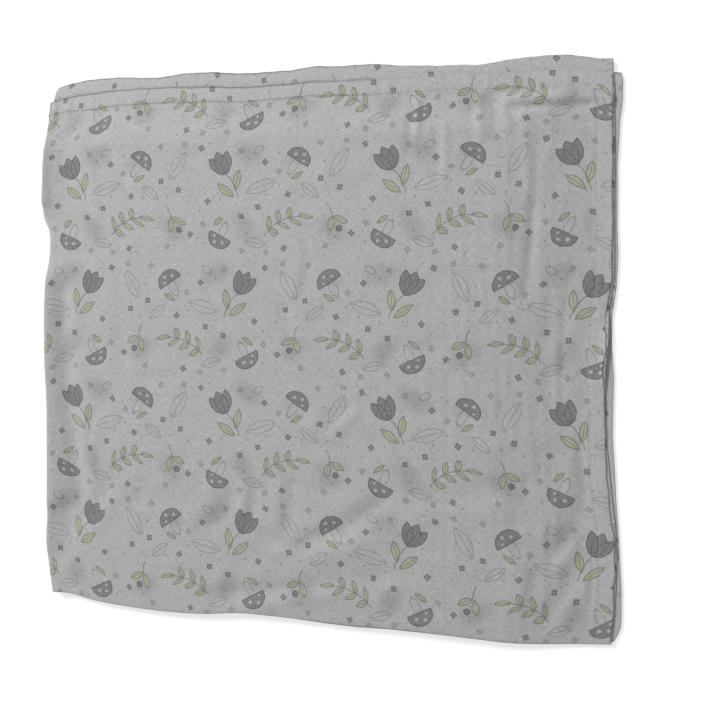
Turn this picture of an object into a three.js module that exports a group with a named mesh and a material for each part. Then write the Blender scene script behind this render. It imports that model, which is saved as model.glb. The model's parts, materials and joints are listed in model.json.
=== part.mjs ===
// Muslin play mat, folded in quarters and laid flat with its printed face up.
// It is one cut of thin cotton with a turned hem all round. The first fold, along the
// near side, brings it in half. The second, along the left side, brings it in quarters.
// Four layers lie on each other: top and bottom are one half of the cloth, and the
// second and third, between them, are the other half.
// Millimetres, +Z up. The origin lies under the middle of the folded mat. X runs from
// the left fold to the open right side, Y from the near fold to the open far side.

import * as THREE from 'three';

// The cut cloth, flat: how far it runs from each fold to its hemmed edges.
const RUN = { over: 596, under: 604, outer: 549, inner: 561 };
const THICK = 1.1;
const HEM = { wide: 15, slope: 3, extra: 0.5 };

// Height from the middle of one layer to the middle of the next.
const PITCH = 3.0;
const NEAR_RADIUS = PITCH / 2;
const LEFT_RADIUS = PITCH * 1.5;

// Half the width that the folded mat covers, in round figures.
const HALF_WIDE = 300;

// A short way along the cloth, over which its slope is measured.
const SHORT_STEP = 0.05;

// Hemmed edges along the far side: the Y where each layer ends, across the mat.
const FAR_HEM = table(['x', 'top', 'second', 'third', 'bottom'], [
  [-300, 266.0, 282.0, 278.0, 264.0],
  [-280, 270.5, 286.5, 281.0, 268.0],
  [-238, 274.0, 289.3, 283.0, 270.0],
  [-185, 274.0, 285.3, 281.0, 270.0],
  [-125, 271.0, 286.2, 279.0, 268.0],
  [-60, 266.0, 280.4, 277.0, 266.0],
  [0, 266.0, 281.2, 275.0, 264.0],
  [60, 263.5, 279.2, 273.0, 262.0],
  [120, 262.0, 273.2, 270.0, 260.0],
  [170, 260.5, 270.2, 267.0, 258.0],
  [215, 259.0, 272.3, 264.0, 255.0],
  [245, 258.3, 273.4, 260.0, 252.0],
  [275, 258.5, 268.4, 256.0, 250.0],
  [300, 249.0, 264.8, 251.0, 247.0],
]);

// Hemmed edges along the right side: the X where each layer ends, along the mat.
const RIGHT_HEM = table(['y', 'top', 'second', 'third', 'bottom'], [
  [-286, 292.0, 292.3, 292.6, 291.0],
  [-267, 293.0, 295.0, 301.5, 299.0],
  [-235, 294.5, 297.0, 301.4, 299.5],
  [-200, 295.5, 298.0, 300.2, 298.0],
  [-155, 292.5, 294.6, 296.8, 295.0],
  [-130, 288.5, 291.5, 295.0, 293.5],
  [-100, 287.2, 289.5, 293.4, 292.0],
  [-35, 284.5, 287.5, 295.0, 293.0],
  [0, 286.0, 288.5, 293.3, 292.8],
  [35, 289.0, 291.5, 295.0, 294.0],
  [60, 292.5, 295.0, 298.5, 297.0],
  [160, 293.5, 296.2, 298.6, 297.5],
  [200, 293.5, 296.0, 300.7, 299.0],
  [238, 293.5, 295.5, 303.5, 300.5],
  [250, 293.0, 295.0, 302.0, 298.0],
  [262, 292.5, 294.5, 295.0, 294.0],
  [290, 291.0, 294.0, 294.0, 293.0],
]);

// The near fold: the Y of the upper pair's bend and of the lower pair's, across the mat.
const NEAR_FOLD = table(['x', 'upper', 'lower'], [
  [-300, -273.0, -271.0],
  [-280, -272.2, -270.5],
  [-240, -279.0, -277.0],
  [-175, -283.8, -282.0],
  [-120, -283.8, -282.5],
  [-75, -279.8, -279.5],
  [-20, -281.0, -283.4],
  [40, -283.6, -286.8],
  [90, -284.0, -286.8],
  [150, -286.4, -288.6],
  [215, -288.6, -287.5],
  [285, -285.0, -283.5],
  [300, -284.0, -283.0],
]);

// The left fold: the X of its round edge, along the mat.
const LEFT_FOLD = table(['y', 'edge'], [
  [-275, -292.8],
  [-250, -296.5],
  [-215, -300.6],
  [-180, -298.6],
  [-70, -298.8],
  [-15, -301.4],
  [55, -301.2],
  [108, -296.2],
  [124, -297.0],
  [140, -303.3],
  [175, -303.5],
  [210, -302.2],
  [240, -298.4],
  [272, -295.5],
  [282, -292.0],
  [290, -288.0],
]);

// Main creases of the lying cloth. Each runs from one place over a second to a third,
// with the half width of its soft slope and its height, below zero for a trough.
const CREASES = table(['from', 'over', 'to', 'wide', 'high'], [
  [[-284, 45], [-279, -50], [-268, -152], 11, -2.6],
  [[-289, 262], [-291, 215], [-284, 150], 9, -1.6],
  [[-292, 40], [-290, -60], [-288, -170], 7, 1.2],
  [[-256, 30], [-254, -70], [-248, -150], 12, 0.8],
  [[196, 226], [240, 225], [288, 223], 5, -1.8],
  [[190, 237], [240, 236], [287, 233], 6, 1.4],
  [[246, -106], [165, -138], [18, -196], 13, -1.9],
  [[230, -130], [120, -172], [40, -212], 14, 1.3],
  [[-68, -257], [20, -236], [104, -203], 12, -1.5],
  [[265, -98], [260, -150], [236, -197], 10, -1.6],
  [[252, -218], [240, -240], [228, -262], 12, -1.9],
  [[218, 160], [217, 100], [214, 45], 7, -1.5],
  [[176, 238], [177, 220], [176, 200], 7, -1.5],
  [[108, 245], [109, 222], [106, 196], 6, 1.1],
  [[136, 200], [138, 175], [137, 148], 6, 1.0],
  [[274, 66], [262, 5], [254, -62], 7, 1.3],
  [[240, 24], [236, -20], [230, -66], 7, 1.2],
  [[35, -128], [20, -148], [-2, -157], 9, -1.3],
  [[-32, -150], [-33, -175], [-35, -205], 9, -1.2],
  [[-88, -172], [-102, -183], [-118, -192], 9, -1.1],
  [[-52, -150], [-56, -168], [-60, -186], 9, 1.0],
  [[62, -78], [44, -90], [25, -99], 9, 1.0],
]);

// The depth that no trough goes below.
const DEEPEST = 2.2;

// Broad swells of the stack, where the layers lie more or less loosely.
const SWELLS = table(['from', 'over', 'to', 'wide', 'high'], [
  [[-170, 120], [-60, 60], [40, 90], 110, 0.9],
  [[120, -30], [160, 20], [200, 90], 80, 0.7],
  [[-190, -140], [-120, -150], [-60, -110], 80, 0.6],
  [[-300, 284], [0, 282], [300, 268], 26, -0.5],
  [[292, -280], [288, 0], [296, 260], 22, -0.3],
]);

// Grid lines of the cloth, counted from a fold: the first few lie close together over
// the bend and beside it, the next ones evenly, and the last on the hem. The outer and
// inner halves share their lines along the mat, so that a crease bends the top layer and
// the one under it alike.
const BEND_STEPS = 3;
const ALONG_LINES = { radius: NEAR_RADIUS, beside: [6], even: 17, before: [44, 34, 26] };
const GRID = {
  over: { run: RUN.over, radius: LEFT_RADIUS, beside: [5, 12, 20, 30], even: 22, before: [] },
  under: { run: RUN.under, radius: LEFT_RADIUS, beside: [14], even: 6, before: [] },
  outer: { run: RUN.outer, ...ALONG_LINES },
  inner: { run: RUN.inner, ...ALONG_LINES },
};

function table(columns, rows) {
  return rows.map((row) => Object.fromEntries(columns.map((name, i) => [name, row[i]])));
}

// A smooth curve through one column of a table, held level past its ends.
function curveThrough(rows, key, at, column) {
  const last = rows.length - 1;
  if (at <= rows[0][key]) return rows[0][column];
  if (at >= rows[last][key]) return rows[last][column];
  let i = 0;
  while (rows[i + 1][key] < at) i += 1;
  const slopeAt = (k) => {
    const a = rows[Math.max(k - 1, 0)];
    const b = rows[Math.min(k + 1, last)];
    return (b[column] - a[column]) / (b[key] - a[key]);
  };
  const step = rows[i + 1][key] - rows[i][key];
  const f = (at - rows[i][key]) / step;
  const rise = f * f * (3 - 2 * f);
  return rows[i][column] * (1 - rise) + rows[i + 1][column] * rise
    + step * (slopeAt(i) * f * (1 - f) * (1 - f) - slopeAt(i + 1) * f * f * (1 - f));
}

function mix(a, b, share) {
  return a + (b - a) * share;
}

// How far a straight line between two places passes from a point.
function distanceToLine([ax, ay], [bx, by], x, y) {
  const along = ((x - ax) * (bx - ax) + (y - ay) * (by - ay)) / ((bx - ax) ** 2 + (by - ay) ** 2);
  const f = Math.min(Math.max(along, 0), 1);
  return Math.hypot(x - mix(ax, bx, f), y - mix(ay, by, f));
}

// Height that the creases and swells add to the top layer over one place. Troughs that
// meet level out above the layer underneath.
function relief(x, y) {
  let height = 0;
  for (const fold of [...CREASES, ...SWELLS]) {
    const away = Math.min(
      distanceToLine(fold.from, fold.over, x, y),
      distanceToLine(fold.over, fold.to, x, y),
    );
    height += fold.high * Math.exp(-((away / fold.wide) ** 2));
  }
  return height < 0 ? DEEPEST * Math.tanh(height / DEEPEST) : height;
}

// The lower pair lies flat, the second layer follows half of the relief, the top all.
function reliefShare(level) {
  return Math.max(0, (level / PITCH - 1) / 2);
}

// A half turn of the cloth about a fold. run is the distance along the cloth from the
// fold's middle, below zero on one side. reach is how far it lies from the fold's edge,
// turn goes from -1 on one side to 1 on the other, and lean is 1 at the very edge.
function bend(run, radius) {
  const quarter = radius * Math.PI / 2;
  if (Math.abs(run) >= quarter) {
    return { reach: radius + Math.abs(run) - quarter, turn: Math.sign(run), lean: 0 };
  }
  const angle = run / radius;
  return { reach: radius * (1 - Math.cos(angle)), turn: Math.sin(angle), lean: Math.cos(angle) };
}

// Reads one edge for a layer between the four: under is 0 on the upper pair and 1 on the
// lower pair, and inner is 0 on the outer half of the cloth and 1 on the inner half.
function hemEdge(rows, key, at, under, inner) {
  const read = (column) => curveThrough(rows, key, at, column);
  const upper = mix(read('top'), read('second'), inner);
  const lower = mix(read('bottom'), read('third'), inner);
  return mix(upper, lower, under);
}

// Where the middle of the cloth lies. s runs across the cloth from the left fold, above
// zero on the half folded over. t runs along it from the near fold, below zero on the
// outer half.
function folded(s, t) {
  const near = bend(t, NEAR_RADIUS);
  const left = bend(s, LEFT_RADIUS);
  const inset = NEAR_RADIUS * (1 + near.turn);
  const level = LEFT_RADIUS + (LEFT_RADIUS - inset) * left.turn;
  const under = (1 - left.turn) / 2;
  const inner = (1 + near.turn) / 2;

  const acrossRun = s > 0 ? RUN.over : RUN.under;
  const alongRun = t > 0 ? RUN.inner : RUN.outer;
  const a = (left.reach + inset * left.lean) / bend(acrossRun, LEFT_RADIUS).reach;
  const b = near.reach / bend(alongRun, NEAR_RADIUS).reach;

  const across = mix(-HALF_WIDE, HALF_WIDE, a);
  const nearY = mix(
    curveThrough(NEAR_FOLD, 'x', across, 'upper'),
    curveThrough(NEAR_FOLD, 'x', across, 'lower'),
    under,
  );
  const y = mix(nearY, hemEdge(FAR_HEM, 'x', across, under, inner), b);
  const leftX = curveThrough(LEFT_FOLD, 'y', y, 'edge');
  const x = mix(leftX, hemEdge(RIGHT_HEM, 'y', y, under, inner), a);
  return new THREE.Vector3(x, y, THICK / 2 + level + reliefShare(level) * relief(x, y));
}

// The direction square to the cloth, towards its unprinted back.
function towardsBack(s, t) {
  const ds = folded(s + SHORT_STEP, t).sub(folded(s - SHORT_STEP, t));
  const dt = folded(s, t + SHORT_STEP).sub(folded(s, t - SHORT_STEP));
  return ds.cross(dt).normalize();
}

// The hem is turned to the back, so the cloth is thicker there. The change lies between
// the last grid line of the single cloth and the first of the hem.
function hemExtra(s, t) {
  const acrossLeft = (s > 0 ? RUN.over : RUN.under) - Math.abs(s);
  const alongLeft = (t > 0 ? RUN.inner : RUN.outer) - Math.abs(t);
  return Math.min(acrossLeft, alongLeft) < HEM.wide + HEM.slope / 2 ? HEM.extra : 0;
}

function gridLines({ run, radius, beside, even, before }) {
  const quarter = radius * Math.PI / 2;
  const lines = [];
  for (let k = 1; k <= BEND_STEPS; k += 1) lines.push(quarter * k / BEND_STEPS);
  for (const away of beside) lines.push(quarter + away);
  const first = lines[lines.length - 1];
  const hemStart = [...before, HEM.wide + HEM.slope];
  const last = run - hemStart[0];
  for (let k = 1; k <= even; k += 1) lines.push(mix(first, last, k / even));
  for (const away of hemStart.slice(1)) lines.push(run - away);
  lines.push(run - HEM.wide, run);
  return lines;
}

function bothSides(below, above) {
  return [...gridLines(below).reverse().map((line) => -line), 0, ...gridLines(above)];
}

// The cloth starts as a box with one unit to each cell of the grid, and each of its
// points is then moved to its place on the front or the back of the folded cloth.
function makeCloth() {
  const sLines = bothSides(GRID.under, GRID.over);
  const tLines = bothSides(GRID.outer, GRID.inner);
  const columns = sLines.length - 1;
  const rows = tLines.length - 1;
  const cloth = new THREE.BoxGeometry(columns, rows, 2, columns, rows, 1);
  const place = cloth.attributes.position;
  for (let i = 0; i < place.count; i += 1) {
    const s = sLines[Math.round(place.getX(i) + columns / 2)];
    const t = tLines[Math.round(place.getY(i) + rows / 2)];
    const onBack = place.getZ(i) > 0;
    const away = onBack ? THICK / 2 + hemExtra(s, t) : -THICK / 2;
    const point = folded(s, t).addScaledVector(towardsBack(s, t), away);
    place.setXYZ(i, point.x, point.y, point.z);
  }
  cloth.computeVertexNormals();
  return cloth;
}

const muslin = new THREE.MeshStandardMaterial({ color: 0xb3b3b5, roughness: 0.92, metalness: 0 });

const mat = new THREE.Mesh(makeCloth(), muslin);
mat.name = 'folded_muslin';

const playMat = new THREE.Group();
playMat.add(mat);

export default playMat;
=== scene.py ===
# The looks of a muslin play mat, folded in quarters and laid flat with its printed face up.
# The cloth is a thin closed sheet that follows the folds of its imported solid, with the
# turned hem, the stitches, the weave and the print that the solid leaves out.
# Sizes are in millimetres up to where a mesh gets its places, which are in metres.

import json
import math

import bpy
import numpy as np
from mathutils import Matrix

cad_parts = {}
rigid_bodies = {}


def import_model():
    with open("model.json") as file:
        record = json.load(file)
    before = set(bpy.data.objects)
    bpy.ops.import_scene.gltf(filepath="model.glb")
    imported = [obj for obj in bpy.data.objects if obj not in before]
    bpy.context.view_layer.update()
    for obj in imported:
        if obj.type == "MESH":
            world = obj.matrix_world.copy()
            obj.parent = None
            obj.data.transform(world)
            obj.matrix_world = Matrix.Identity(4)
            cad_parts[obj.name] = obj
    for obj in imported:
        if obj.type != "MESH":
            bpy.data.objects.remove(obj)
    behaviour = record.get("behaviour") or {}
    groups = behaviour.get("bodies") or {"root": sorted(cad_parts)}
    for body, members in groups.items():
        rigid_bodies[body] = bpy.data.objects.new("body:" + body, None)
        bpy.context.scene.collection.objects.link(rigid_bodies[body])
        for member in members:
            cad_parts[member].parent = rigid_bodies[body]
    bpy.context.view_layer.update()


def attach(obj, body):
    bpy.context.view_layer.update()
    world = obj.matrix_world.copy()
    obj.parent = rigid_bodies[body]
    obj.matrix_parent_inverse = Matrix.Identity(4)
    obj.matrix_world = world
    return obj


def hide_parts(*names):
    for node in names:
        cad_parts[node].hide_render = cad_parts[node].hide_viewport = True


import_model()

MM = 0.001

# The cut cloth, flat: how far it runs from each fold to its hemmed edges.
RUN_OVER = 596.0
RUN_UNDER = 604.0
RUN_OUTER = 549.0
RUN_INNER = 561.0
CLOTH_WIDE = RUN_OVER + RUN_UNDER
CLOTH_LONG = RUN_OUTER + RUN_INNER

# Real thickness of the muslin, and what the turned hem adds on the back.
THICK = 0.6
HEM_EXTRA = 0.5
HEM_WIDE = 15.0
HEM_WIDER = 2.0
# Where the stitch line runs: this share of the hem's width from the edge.
STITCH_SHARE = 0.87

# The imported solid's height from layer to layer, and the round folds that this gives.
PITCH = 3.0
NEAR_RADIUS = PITCH / 2
LEFT_RADIUS = PITCH * 1.5
HALF_WIDE = 300.0


def table(columns, rows):
    return {name: np.array([row[i] for row in rows], float) for i, name in enumerate(columns)}


# Hemmed edges along the far side: the Y where each layer ends, across the mat.
FAR_HEM = table(["x", "top", "second", "third", "bottom"], [
    [-300, 266.0, 282.0, 278.0, 264.0],
    [-280, 270.5, 286.5, 281.0, 268.0],
    [-238, 274.0, 289.3, 283.0, 270.0],
    [-185, 274.0, 285.3, 281.0, 270.0],
    [-125, 271.0, 286.2, 279.0, 268.0],
    [-60, 266.0, 280.4, 277.0, 266.0],
    [0, 266.0, 281.2, 275.0, 264.0],
    [60, 263.5, 279.2, 273.0, 262.0],
    [120, 262.0, 273.2, 270.0, 260.0],
    [170, 260.5, 270.2, 267.0, 258.0],
    [215, 259.0, 272.3, 264.0, 255.0],
    [245, 258.3, 273.4, 260.0, 252.0],
    [275, 258.5, 268.4, 256.0, 250.0],
    [300, 249.0, 264.8, 251.0, 247.0],
])

# Hemmed edges along the right side: the X where each layer ends, along the mat.
RIGHT_HEM = table(["y", "top", "second", "third", "bottom"], [
    [-286, 292.0, 292.3, 292.6, 291.0],
    [-267, 293.0, 295.0, 301.5, 299.0],
    [-235, 294.5, 297.0, 301.4, 299.5],
    [-200, 295.5, 298.0, 300.2, 298.0],
    [-155, 291.0, 294.2, 297.9, 296.0],
    [-130, 288.4, 291.6, 297.2, 295.4],
    [-100, 287.2, 288.4, 294.3, 292.6],
    [-65, 286.4, 287.2, 294.4, 292.8],
    [-35, 285.2, 287.6, 295.0, 293.0],
    [0, 286.8, 289.2, 293.3, 292.8],
    [35, 289.0, 291.5, 295.0, 294.0],
    [60, 292.5, 295.0, 298.5, 297.0],
    [160, 293.5, 296.2, 298.6, 297.5],
    [200, 293.5, 296.0, 300.7, 299.0],
    [238, 293.5, 295.5, 303.5, 300.5],
    [250, 293.0, 295.0, 302.0, 298.0],
    [262, 292.5, 294.5, 295.0, 294.0],
    [290, 291.0, 294.0, 294.0, 293.0],
])

# The near fold: the Y of the upper pair's bend and of the lower pair's, across the mat.
NEAR_FOLD = table(["x", "upper", "lower"], [
    [-300, -273.0, -271.0],
    [-280, -272.2, -270.5],
    [-240, -279.0, -277.0],
    [-175, -283.8, -282.0],
    [-120, -283.8, -282.5],
    [-75, -279.8, -279.5],
    [-20, -281.0, -283.4],
    [40, -283.6, -286.8],
    [90, -284.0, -286.8],
    [150, -286.4, -288.6],
    [215, -288.6, -287.5],
    [285, -285.0, -283.5],
    [300, -284.0, -283.0],
])

# The left fold: the X of its round edge, along the mat.
LEFT_FOLD = table(["y", "edge"], [
    [-275, -292.8],
    [-250, -296.5],
    [-215, -300.6],
    [-180, -298.6],
    [-70, -298.8],
    [-15, -301.4],
    [55, -301.2],
    [108, -296.2],
    [124, -297.0],
    [140, -303.3],
    [175, -303.5],
    [210, -302.2],
    [240, -298.4],
    [272, -295.5],
    [282, -292.0],
    [290, -288.0],
])

# Creases of the lying cloth, each from one place over a second to a third, with the half
# width of its soft slope and its height, below zero for a trough. The deepest ones lie
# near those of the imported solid.
CREASES = [
    # along the left fold
    ((-302, 66), (-300, -50), (-292, -165), 18, 4.0),
    ((-279, 56), (-272, -55), (-257, -165), 9, -2.2),
    ((-251, -70), (-250, -100), (-248, -140), 6, 0.3),
    ((-297, -175), (-297, -200), (-295, -225), 6, 1.2),
    ((-272, -178), (-272, -200), (-274, -225), 12, -2.2),
    ((-302, 262), (-303, 212), (-302, 158), 7, 2.6),
    ((-304, 262), (-304, 212), (-302, 160), 20, 2.8),
    ((-278, 204), (-277, 190), (-278, 176), 7, -0.9),
    # by the far hems
    ((200, 232), (240, 231), (292, 229), 6, 1.8),
    ((202, 224), (240, 223), (278, 222), 4, -2.1),
    ((20, 256), (40, 257), (62, 258), 3.5, -0.9),
    ((-112, 250), (-104, 250), (-94, 248), 5, -0.6),
    ((-86, 236), (-86, 222), (-88, 205), 5, -0.7),
    # upright ones in the far right quarter
    ((111, 244), (111, 225), (110, 204), 4, 1.0),
    ((104, 222), (103, 205), (102, 184), 4, -0.9),
    ((171, 240), (172, 218), (173, 198), 5, 1.4),
    ((184, 240), (185, 218), (186, 200), 5, -1.2),
    ((138, 212), (138, 180), (137, 150), 4, 0.9),
    ((131, 205), (131, 180), (131, 155), 4, -0.6),
    ((222, 128), (219, 88), (215, 46), 5, -1.6),
    ((213, 222), (215, 175), (213, 132), 4, 0.6),
    ((226, 215), (227, 180), (226, 140), 4, -0.5),
    ((238, 214), (238, 196), (237, 176), 3.5, 0.6),
    # upright ones beside the right hems
    ((268, 74), (264, 40), (260, -25), 5, 0.5),
    ((254, 62), (250, 10), (249, -45), 4, -0.3),
    ((247, 40), (243, -5), (242, -55), 4, 0.3),
    ((235, 40), (233, 0), (231, -50), 4, -0.2),
    ((278, 20), (275, -15), (276, -60), 5, 0.6),
    # where the upper pair lifts off the lower one at its edge
    ((291, 4), (289, -15), (288, -34), 7, 3.2),
    # slanting ones in the near right quarter
    ((168, -106), (205, -98), (240, -96), 12, 0.9),
    ((110, -154), (150, -150), (188, -140), 12, -1.2),
    ((214, -140), (212, -160), (204, -180), 9, -0.8),
    ((258, -100), (254, -140), (226, -184), 8, 0.8),
    ((270, -98), (272, -155), (244, -200), 7, -2.0),
    ((278, -94), (279, -110), (279, -128), 3.5, -0.8),
    ((264, -178), (254, -196), (244, -214), 8, 1.2),
    ((262, -214), (251, -236), (236, -262), 8, -1.7),
    ((272, -216), (262, -240), (250, -262), 7, 0.6),
    ((279, -204), (279, -222), (277, -240), 4, -1.1),
    ((206, -212), (208, -230), (206, -248), 10, 1.2),
    ((223, -222), (221, -234), (219, -244), 5, -1.0),
    ((165, -200), (176, -214), (184, -230), 6, -0.8),
    # across the middle of the near half
    ((0, -186), (34, -168), (62, -148), 8, 0.6),
    ((2, -200), (42, -184), (76, -160), 8, -2.2),
    ((0, -222), (46, -204), (104, -176), 13, 1.3),
    # along the near fold
    ((-60, -270), (-20, -264), (26, -252), 8, 1.3),
    ((-100, -262), (-40, -255), (8, -246), 8, -1.7),
    ((22, -243), (60, -236), (104, -224), 9, -1.1),
    # puckers in the near left quarter
    ((-82, -158), (-88, -174), (-102, -190), 7, -1.6),
    ((-104, -150), (-110, -166), (-126, -182), 7, 0.9),
    ((-70, -146), (-68, -160), (-72, -172), 5, 1.2),
    ((-56, -148), (-58, -164), (-64, -182), 5, -1.3),
    ((-34, -146), (-33, -166), (-36, -188), 6, 1.2),
    ((-16, -144), (-17, -166), (-20, -190), 6, -1.4),
    ((-48, -196), (-36, -204), (-22, -208), 6, -1.1),
    ((-40, -218), (-24, -210), (-8, -198), 6, 1.0),
    ((2, -150), (14, -152), (30, -146), 7, -1.0),
    ((-228, -156), (-238, -170), (-250, -186), 8, -1.0),
    ((-216, -170), (-228, -186), (-240, -200), 7, 0.9),
    ((-180, -148), (-184, -158), (-190, -170), 5, -0.9),
    ((-240, -76), (-243, -88), (-247, -102), 4, -1.0),
    ((-234, -78), (-237, -92), (-240, -106), 3.5, 0.7),
    # the middle and the far left quarter
    ((-210, 22), (-208, 0), (-204, -22), 8, -0.8),
    ((-12, 102), (-9, 78), (-16, 48), 4, 0.8),
    ((-3, 100), (-1, 75), (-7, 46), 4, -0.7),
    ((-24, 34), (-20, 12), (-12, -8), 6, -1.1),
    ((24, -96), (38, -82), (52, -70), 4.5, 0.9),
    ((16, -90), (28, -76), (42, -64), 4.5, -0.8),
    ((2, -88), (8, -76), (14, -66), 5, 0.8),
    ((-247, 204), (-239, 165), (-236, 128), 3.5, 0.6),
    ((-240, 202), (-232, 165), (-229, 130), 3.5, -0.5),
    ((-224, 208), (-208, 180), (-196, 152), 4, -0.6),
    ((-215, 210), (-199, 182), (-187, 154), 4, 0.5),
]

# Broad swells of the stack, where the layers lie more or less loosely.
SWELLS = [
    ((-170, 120), (-60, 60), (40, 90), 110, 0.9),
    ((120, -30), (160, 20), (200, 90), 80, 0.7),
    ((-190, -140), (-120, -150), (-60, -110), 80, 0.6),
    ((-300, 284), (0, 282), (300, 268), 26, -0.5),
    ((292, -280), (288, 0), (296, 260), 22, -0.3),
]

# Heights of the four layers, from the bottom one to the top: evenly spaced inside the
# stack, and pressed together where their hemmed edges lie free.
EVEN_LEVELS = [0.0, 3.0, 6.0, 9.0]
FREE_LEVELS = [0.0, 1.7, 2.6, 4.35]

# The share of the top layer's creases that each layer takes: inside the stack, and by the
# free edges, where the upper pair rises as one and the second layer hardly dips.
STACK_SHARES = [0.0, 0.0, 0.5, 1.0]
FREE_RISES = [0.0, 0.0, 1.0, 1.0]
FREE_DIPS = [0.0, 0.0, 0.25, 1.0]
# How deep the top layer may dip: inside the stack, by the free edges, and at the hems.
STACK_ROOM = 3.2
FREE_ROOM = 1.1
HEM_ROOM = 0.12

# Distances from the side edge and from the end edge where the layers start to be pressed
# together and where they fully are, and from either edge for the room at the hems.
PRESSED_SIDE = (110, 20)
PRESSED_END = (60, 16)
AT_HEM = (22, 16)
# How far in from an edge the hem's ripples reach, on the second layer too, and their fading.
RIPPLES_IN = 24
SECOND_RIPPLES_IN = 10
RIPPLES_FADE = 10
# How far along its waves each layer's edge is read, so that each wavers in its own way.
INNER_SHIFT = 400
UNDER_SHIFT = 900


def mix(a, b, share):
    return a + (b - a) * share


def ease(share):
    """A soft step from 0 to 1."""
    held = np.clip(share, 0, 1)
    return held * held * (3 - 2 * held)


def soft_step(value, none, full):
    """A soft step that is 0 where the value is none and 1 where it is full."""
    return ease((value - none) / (full - none))


def curve_through(rows, key, at, column):
    """A smooth curve through one column of a table, held level past its ends."""
    x, y = rows[key], rows[column]
    slope = np.gradient(y, x)
    slope[1:-1] = (y[2:] - y[:-2]) / (x[2:] - x[:-2])
    held = np.clip(at, x[0], x[-1])
    i = np.clip(np.searchsorted(x, held) - 1, 0, len(x) - 2)
    step = x[i + 1] - x[i]
    f = (held - x[i]) / step
    bow = slope[i] * f * (1 - f) ** 2 - slope[i + 1] * f * f * (1 - f)
    return mix(y[i], y[i + 1], ease(f)) + step * bow


def distance_to_line(a, b, x, y):
    dx, dy = b[0] - a[0], b[1] - a[1]
    f = np.clip(((x - a[0]) * dx + (y - a[1]) * dy) / (dx * dx + dy * dy), 0, 1)
    return np.hypot(x - mix(a[0], b[0], f), y - mix(a[1], b[1], f))


def waves(x, y, seed, count, shortest, longest, high, turns=(0, math.pi)):
    """Irregular soft wrinkles of a given mean height: waves of many lengths and directions."""
    draw = np.random.default_rng(seed)
    total = 0
    for _ in range(count):
        length = draw.uniform(shortest, longest)
        turn = draw.uniform(*turns)
        phase = draw.uniform(0, 2 * math.pi)
        total = total + np.cos((x * math.cos(turn) + y * math.sin(turn)) * 2 * math.pi / length + phase)
    return total * high / math.sqrt(count / 2)


def relief(x, y):
    """Height that creases, swells and crinkles add to the top layer over one place."""
    height = 0
    for start, over, end, wide, high in CREASES + SWELLS:
        away = np.minimum(distance_to_line(start, over, x, y), distance_to_line(over, end, x, y))
        height = height + high * np.exp(-((away / wide) ** 2))
    height = height + waves(x, y, seed=11, count=24, shortest=28, longest=64, high=0.17)
    height = height + waves(x, y, seed=12, count=24, shortest=11, longest=22, high=0.04)
    # The loosely woven cloth hangs in upright streaks towards the open right side.
    streaks = waves(x, y, seed=13, count=12, shortest=9, longest=17, high=0.09, turns=(-0.12, 0.12))
    return height + streaks * soft_step(x, 40, 200)


def hem_ripples(x, y, own, inner, side, end):
    """Short ripples that the stitching draws each hem into, along the far and right sides. The
    second layer has them only where it peeks out past the top one."""
    along_far = waves(x + own, 0 * x, seed=23, count=10, shortest=9, longest=26, high=0.2, turns=(0, 0))
    along_right = waves(y, 0 * y, seed=24, count=10, shortest=9, longest=26, high=0.16, turns=(0, 0))
    along_far = along_far * ease((mix(RIPPLES_IN, SECOND_RIPPLES_IN, inner) - end) / RIPPLES_FADE)
    return along_far + along_right * ease((RIPPLES_IN - side) / RIPPLES_FADE) * (1 - inner)


def bend(run, radius):
    """A half turn about a fold: how far a place lies from the fold, its turn and its lean."""
    quarter = radius * math.pi / 2
    angle = np.clip(run / radius, -math.pi / 2, math.pi / 2)
    past = np.maximum(np.abs(run) - quarter, 0)
    return radius * (1 - np.cos(angle)) + past, np.sin(angle), np.cos(angle)


def hem_edge(rows, key, at, under, inner):
    upper = mix(curve_through(rows, key, at, "top"), curve_through(rows, key, at, "second"), inner)
    lower = mix(curve_through(rows, key, at, "bottom"), curve_through(rows, key, at, "third"), inner)
    return mix(upper, lower, under)


def edge_distances(s, t):
    """How far a place lies from the cloth's side edge and from its end edge."""
    side = np.where(s > 0, RUN_OVER, RUN_UNDER) - np.abs(s)
    end = np.where(t > 0, RUN_INNER, RUN_OUTER) - np.abs(t)
    return side, end


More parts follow.
